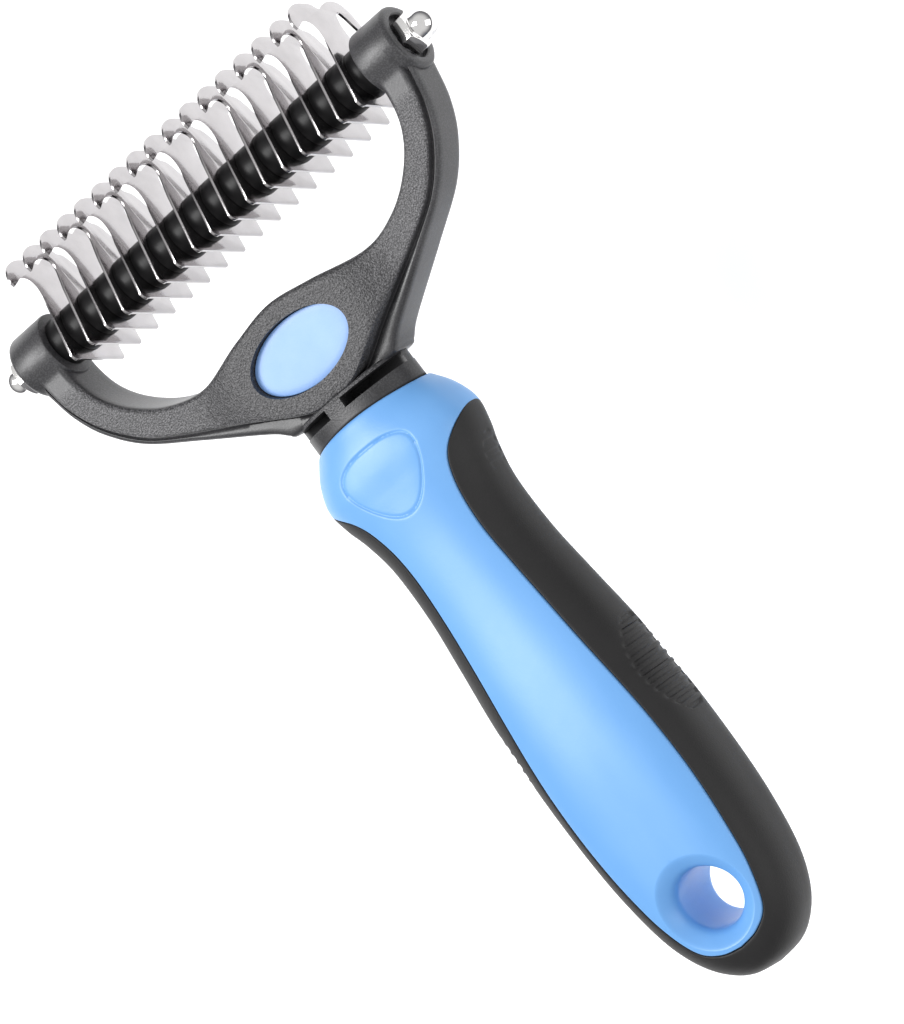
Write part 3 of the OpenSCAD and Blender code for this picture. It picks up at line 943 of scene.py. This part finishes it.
def acorn_nut(side):
    middle = side * (NUT_BASE + HEX_LENGTH / 2)
    bpy.ops.mesh.primitive_cylinder_add(
        vertices=6, radius=NUT_AC_R * MM, depth=HEX_LENGTH * MM,
        rotation=(0, math.pi / 2, 0), location=(middle * MM, BAR_Y * MM, 0))
    piece = bpy.context.object
    bpy.ops.object.transform_apply(location=True, rotation=True, scale=False)
    first = piece.data.vertices[0].co
    now = math.degrees(math.atan2(first.z, first.y - BAR_Y * MM))
    piece.data.transform(Matrix.Translation((0, BAR_Y * MM, 0))
                         @ Matrix.Rotation(math.radians(HEX_TURN - now), 4, "X")
                         @ Matrix.Translation((0, -BAR_Y * MM, 0)))
    modified(piece, "BEVEL", width=0.14 * MM, segments=3, limit_method="ANGLE")
    corner, cut = NUT_AC_R + 0.05, 0.75
    envelope = [(0, 0), (0, corner - 0.35), (0.3, corner), (HEX_LENGTH - 0.5, corner),
                (HEX_LENGTH - 0.2, corner - 0.3), (HEX_LENGTH, corner - cut), (HEX_LENGTH, 0)]
    combined(piece, turned("envelope", envelope, 96, side, NUT_BASE), "INTERSECT")
    dome_x = NUT_TIP - NUT_BASE - DOME_R
    dome = [(dome_x + DOME_R * math.sin(a), DOME_R * math.cos(a))
            for a in np.linspace(0, math.pi / 2, 20)]
    neck_line = [(HEX_LENGTH - 0.6, 0), (HEX_LENGTH - 0.6, DOME_R + 0.25),
                 (HEX_LENGTH + 0.02, DOME_R + 0.2), (HEX_LENGTH + 0.12, DOME_R + 0.04),
                 (HEX_LENGTH + 0.3, DOME_R)]
    combined(piece, turned("dome", [*neck_line, *dome], 96, side, NUT_BASE), "UNION")
    thread = [(-0.5, 0), (-0.5, ROD_R + 0.5), (0, ROD_R + 0.5), (0.45, BORE_R),
              (dome_x + 0.4, BORE_R), (dome_x + 0.4, 0)]
    combined(piece, turned("thread", thread, 48, side, NUT_BASE), "DIFFERENCE")
    smooth(piece, 30)
    name = "nut_right" if side > 0 else "nut_left"
    piece.name = piece.data.name = name + "_acorn"
    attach(piece, name)
    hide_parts(name)
    return piece


nuts = [acorn_nut(-1), acorn_nut(1)]
print("nut faces:", [len(nut.data.polygons) for nut in nuts])

# %% [markdown]
# Under each nut lies a split lock washer. It only shows when the nut is undone. A ring is turned
# and a slanted slit is cut through it.

# %% Lock washers
def lock_washer(side):
    name = "washer_right" if side > 0 else "washer_left"
    low, high = box_mm(name)
    bore, rim, edge = ROD_R + 0.08, (high[2] - low[2]) / 2, 0.08
    start, end = low[0], high[0]
    profile = [(start, bore), (start, rim - edge), (start + edge, rim), (end - edge, rim),
               (end, rim - edge), (end, bore), (start, bore)]
    piece = turned(name + "_ring", profile, 64)
    slit = block((start - 0.5, BAR_Y + bore - 0.6, -0.2), (end + 0.5, BAR_Y + rim + 0.6, 0.2))
    middle = Vector(((start + end) / 2, BAR_Y, 0)) * MM
    slit.data.transform(Matrix.Translation(middle) @ Matrix.Rotation(math.radians(24), 4, "Y")
                        @ Matrix.Translation(-middle))
    combined(piece, slit, "DIFFERENCE")
    smooth(piece, 30)
    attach(piece, name)
    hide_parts(name)
    return piece


washers = [lock_washer(-1), lock_washer(1)]
tie_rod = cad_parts["tie_rod"]
print("washers:", len(washers))

# %% [markdown]
# ## Materials
# Shader maths reads best as plain expressions. A small class wraps a socket, so that adding or
# multiplying two of them adds the Math node, and one method makes any other node.


# %% The shader helper
class Socket:
    """A value in a material's node tree, to be used in ordinary arithmetic."""

    def __init__(self, tree, out):
        self.tree, self.out = tree, out

    def _math(self, operation, *values):
        return make(self.tree, "ShaderNodeMath", {"operation": operation}, values)

    def __add__(self, other):
        return self._math("ADD", self, other)

    def __sub__(self, other):
        return self._math("SUBTRACT", self, other)

    def __rsub__(self, other):
        return self._math("SUBTRACT", other, self)

    def __mul__(self, other):
        return self._math("MULTIPLY", self, other)

    __radd__, __rmul__ = __add__, __mul__

    def absolute(self):
        return self._math("ABSOLUTE", self)

    def ramp(self, low, high):
        """0 below low, 1 above high, smooth between."""
        return make(self.tree, "ShaderNodeMapRange", {"interpolation_type": "SMOOTHSTEP"},
                    {"Value": self, "From Min": low, "From Max": high})


def make(tree, kind, settings=None, values=(), output=0):
    """Adds a node, sets its settings, fills or links its inputs, and returns one output."""
    node = tree.nodes.new(kind)
    for key, value in (settings or {}).items():
        setattr(node, key, value)
    pairs = values.items() if isinstance(values, dict) else enumerate(values)
    for key, value in pairs:
        if isinstance(value, Socket):
            tree.links.new(value.out, node.inputs[key])
        else:
            node.inputs[key].default_value = value
    return Socket(tree, node.outputs[output])


class Finish:
    """A material with its Principled shader and the object's own coordinates in millimetres."""

    def __init__(self, name, **constants):
        self.material = bpy.data.materials.new(name)
        self.material.use_nodes = True
        self.tree = self.material.node_tree
        self.shader = self.tree.nodes["Principled BSDF"]
        for key, value in constants.items():
            self.shader.inputs[key.replace("_", " ")].default_value = value
        place = make(self.tree, "ShaderNodeTexCoord", output="Object")
        self.place = make(self.tree, "ShaderNodeVectorMath", {"operation": "SCALE"},
                          {0: place, "Scale": 1 / MM})
        axes = [make(self.tree, "ShaderNodeSeparateXYZ", None, [self.place], k) for k in range(3)]
        self.x, self.y, self.z = axes

    def noise(self, size, detail=3.0, roughness=0.5, stretch=(1, 1, 1)):
        """Noise whose lumps are about this many millimetres across."""
        place = self.place
        if stretch != (1, 1, 1):
            place = make(self.tree, "ShaderNodeVectorMath", {"operation": "MULTIPLY"},
                         [place, tuple(1 / s for s in stretch)])
        return make(self.tree, "ShaderNodeTexNoise", None,
                    {"Vector": place, "Scale": 1 / size, "Detail": detail, "Roughness": roughness})

    def cells(self, size):
        """Rounded cells about this many millimetres across, 0 at their middles."""
        return make(self.tree, "ShaderNodeTexVoronoi", {"feature": "SMOOTH_F1"},
                    {"Vector": self.place, "Scale": 1 / size, "Smoothness": 0.6})

    def blend(self, share, low, high):
        """A colour between two, by share."""
        return make(self.tree, "ShaderNodeMix", {"data_type": "RGBA"},
                    {"Factor": share, 6: (*low, 1), 7: (*high, 1)}, 2)

    def bump(self, height, depth):
        """Raises the surface by height, where 1 stands for depth in millimetres."""
        return make(self.tree, "ShaderNodeBump", None,
                    {"Height": height, "Distance": depth * MM, "Strength": 1.0})

    def set(self, **inputs):
        for key, value in inputs.items():
            self.tree.links.new(value.out, self.shader.inputs[key.replace("_", " ")])
        return self.material


def dress(material, *pieces):
    for piece in pieces:
        piece.data.materials.clear()
        piece.data.materials.append(material)


# %% [markdown]
# The yoke's raised faces have the fine grain that a spark-eroded mould leaves, while its walls are
# almost smooth. A mask by height above the middle plane parts the two. Deep in the neck's slots and
# close to the handle's rim the colour is darkened as painted shade, and the plastic is rougher
# there.

# %% Grained black plastic
def yoke_finish():
    f = Finish("yoke_grained_black", IOR=1.47)
    below_boss = 1 - f.y.ramp(BAR_Y - 9.5, BAR_Y - 6.5)
    above_neck = f.y.ramp(103.5, NECK_END)
    raised = f.z.absolute().ramp(WALL_Z + 0.25, WALL_Z + 0.7) * below_boss * above_neck
    reach = f.x * f.x * COLLAR_X ** -2 + f.z * f.z * COLLAR_Z ** -2
    # painted shade: the colour is darkened deep in the neck's slots
    painted_slot_shade = (1 - reach.ramp(0.8, 0.97)) * (1 - f.y.ramp(SLOT[1] - 0.05, SLOT[1] + 0.05))
    # painted shade: a dark line where the yoke meets the handle's rim
    painted_rim_shade = 1 - (f.y + f.x * f.x * (0.5 / ARCH_R)).ramp(HANDLE_TOP + 0.15, HANDLE_TOP + 0.6)
    clear_of_painted_shade = (1 - painted_slot_shade) * (1 - painted_rim_shade)
    grain = f.cells(0.34) + f.noise(0.16, 2.0) * 0.5
    cloud = f.noise(9.0, 3.0)
    speck = f.noise(0.28, 1.0).ramp(0.42, 0.66)
    arms = f.x.absolute().ramp(14, 34) * 0.45 + 0.68
    tone = (speck * 0.62 * (raised * 0.75 + 0.25) + cloud * 0.32) * clear_of_painted_shade * arms
    height = grain * (raised * 0.85 + 0.15)
    return f.set(Base_Color=f.blend(tone, (0.006, 0.006, 0.007), (0.15, 0.148, 0.156)),
                 Roughness=0.36 + raised * 0.08 + (cloud - 0.5) * 0.1 + (1 - clear_of_painted_shade) * 0.5,
                 Normal=f.bump(height, 0.09))


# %% [markdown]
# The core is a satin blue. Hard plastic of this kind is even in colour, with a trace of flow and a
# very fine orange-peel skin that softens its highlight. The badge is the same plastic in a paler
# blue.

# %% Blue plastics
def blue_finish(name, low, high, rough):
    f = Finish(name, IOR=1.46)
    flow = f.noise(14.0, 3.0, stretch=(1, 3, 1))
    skin = f.noise(0.5, 2.0) + f.noise(0.17, 1.0) * 0.4
    return f.set(Base_Color=f.blend(flow.ramp(0.3, 0.7), low, high),
                 Roughness=rough + (f.noise(3.0) - 0.5) * 0.08,
                 Normal=f.bump(skin, 0.012))


# %% [markdown]
# Moulded rubber is matter and blacker than the yoke. Its skin is finely pitted.

# %% Rubber
def rubber_finish():
    f = Finish("grip_rubber", IOR=1.4)
    pits = f.cells(0.22)
    cloud = f.noise(7.0, 3.0)
    return f.set(Base_Color=f.blend(cloud, (0.006, 0.0058, 0.006), (0.013, 0.0125, 0.013)),
                 Roughness=0.52 + (cloud - 0.5) * 0.12 + (f.noise(0.4) - 0.5) * 0.1,
                 Normal=f.bump(pits + f.noise(0.5, 2.0) * 0.4, 0.02))


# %% [markdown]
# Polished stainless sheet still shows the direction it was rolled in, as faint lines in its gloss.
# They run along the handle here. A few broad clouds keep the faces from being one flat mirror.

# %% Steel, chrome and plating
def blade_finish():
    f = Finish("blade_polished_steel", Metallic=1.0)
    lines = f.noise(0.16, 3.0, 0.6, stretch=(6, 10, 1))
    cloud = f.noise(3.2, 3.0)
    specks = f.noise(0.35, 1.0).ramp(0.62, 0.8)
    rough = 0.15 + (lines - 0.5) * 0.06 + (cloud - 0.5) * 0.06 + specks * 0.06
    return f.set(Base_Color=f.blend(cloud, (0.37, 0.357, 0.362), (0.49, 0.473, 0.478)),
                 Roughness=rough, Normal=f.bump(lines + cloud * 0.3, 0.0012))


def plated_finish(name, low, high, rough, grain):
    f = Finish(name, Metallic=1.0)
    cloud = f.noise(grain, 3.0)
    return f.set(Base_Color=f.blend(cloud, low, high),
                 Roughness=rough + (cloud - 0.5) * rough * 0.5,
                 Normal=f.bump(cloud + f.noise(grain * 0.2) * 0.3, 0.004))


# %% [markdown]
# The sleeves are smooth black plastic with a faint turned look. The rod carries a real thread's
# look as a bump, a wave along the bar at the thread's pitch, bent into a helix by the angle.

# %% Sleeves and rod
THREAD_PITCH = 0.7


def sleeve_finish():
    f = Finish("sleeve_black", IOR=1.22)
    cloud = f.noise(2.4, 3.0)
    rings = f.noise(0.3, 2.0, stretch=(1, 12, 12))
    return f.set(Base_Color=f.blend(cloud, (0.006, 0.006, 0.0065), (0.014, 0.0135, 0.014)),
                 Roughness=0.34 + (cloud - 0.5) * 0.18 + (rings - 0.5) * 0.08,
                 Normal=f.bump(rings + cloud * 0.4, 0.012))


def rod_finish():
    f = Finish("rod_zinc", Metallic=1.0)
    angle = make(f.tree, "ShaderNodeMath", {"operation": "ARCTAN2"}, [f.z, f.y - BAR_Y])
    turn_angle = f.x * (2 * math.pi / THREAD_PITCH) + angle
    thread = make(f.tree, "ShaderNodeMath", {"operation": "SINE"}, [turn_angle])
    return f.set(Base_Color=f.blend(f.noise(1.5), (0.42, 0.43, 0.45), (0.58, 0.58, 0.6)),
                 Roughness=0.3 + (f.noise(0.6) - 0.5) * 0.2, Normal=f.bump(thread, 0.2))


dress(yoke_finish(), yoke)
dress(blue_finish("core_satin_blue", (0.125, 0.325, 0.66), (0.15, 0.358, 0.695), 0.36), handle_core)
dress(blue_finish("badge_pale_blue", (0.195, 0.36, 0.7), (0.215, 0.385, 0.73), 0.34), *badges)
dress(rubber_finish(), grip_band)
dress(blade_finish(), *blades)
dress(plated_finish("nut_chrome", (0.8, 0.79, 0.78), (0.88, 0.87, 0.86), 0.07, 1.6), *nuts)
dress(plated_finish("washer_zinc", (0.42, 0.42, 0.44), (0.56, 0.56, 0.58), 0.28, 0.8), *washers)
dress(sleeve_finish(), *sleeves)
dress(rod_finish(), tie_rod)
print("materials:", len(bpy.data.materials))

# %% [markdown]
# ## The stage
# A plain pale floor lies a little below the comb, as if the comb were held over a table. The
# upright blades mirror it, so they come out as light as they do in the hand. The light is soft: a
# broad lamp above and to the left, a second one low on the right to fill the walls that face the
# camera, and a pale sky. The floor glows faintly, so that it stays white to its far edges.

# %% Floor, sky and lamps
low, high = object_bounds()
FLOOR_DROP = 0.06
bpy.ops.mesh.primitive_plane_add(size=12, location=(0, 0.08, low.z - FLOOR_DROP))
floor = bpy.context.object
floor.name = "floor"
bpy.ops.object.transform_apply(location=True, rotation=False, scale=False)
paper = Finish("floor_paper", Emission_Color=(1, 1, 1, 1), Emission_Strength=0.2)
paper.set(Base_Color=paper.blend(paper.noise(40.0), (0.96, 0.96, 0.965), (0.98, 0.98, 0.98)),
          Roughness=0.75 + paper.noise(5.0) * 0.1)
dress(paper.material, floor)

# The sky is white overhead and greyer towards the horizon, which the chrome needs to mirror
world = bpy.data.worlds.new("sky")
bpy.context.scene.world = world
world.use_nodes = True
sky = world.node_tree
overhead = make(sky, "ShaderNodeSeparateXYZ", None, [make(sky, "ShaderNodeTexCoord")], 2)
shade = make(sky, "ShaderNodeMix", {"data_type": "RGBA"},
             {"Factor": overhead.ramp(0.05, 0.7), 6: (0.2, 0.2, 0.215, 1), 7: (1, 1, 1, 1)}, 2)
sky.links.new(shade.out, sky.nodes["Background"].inputs["Color"])
sky.nodes["Background"].inputs["Strength"].default_value = 0.75


def lamp(name, place, size, power):
    """A square area lamp at a place, in metres, that faces the comb's middle."""
    bpy.ops.object.light_add(type="AREA", location=place)
    light = bpy.context.object
    light.name = name
    light.data.size = size
    light.data.energy = power
    aim = Vector((0, 0.08, 0)) - Vector(place)
    light.rotation_euler = aim.to_track_quat("-Z", "Y").to_euler()
    return light


lamp("key", (-0.9, 0.7, 1.5), 0.9, 34)
lamp("fill", (0.8, -0.35, 0.5), 0.7, 3)
bpy.context.scene.view_settings.view_transform = "Standard"
print("stage set, floor at", round(low.z, 4))
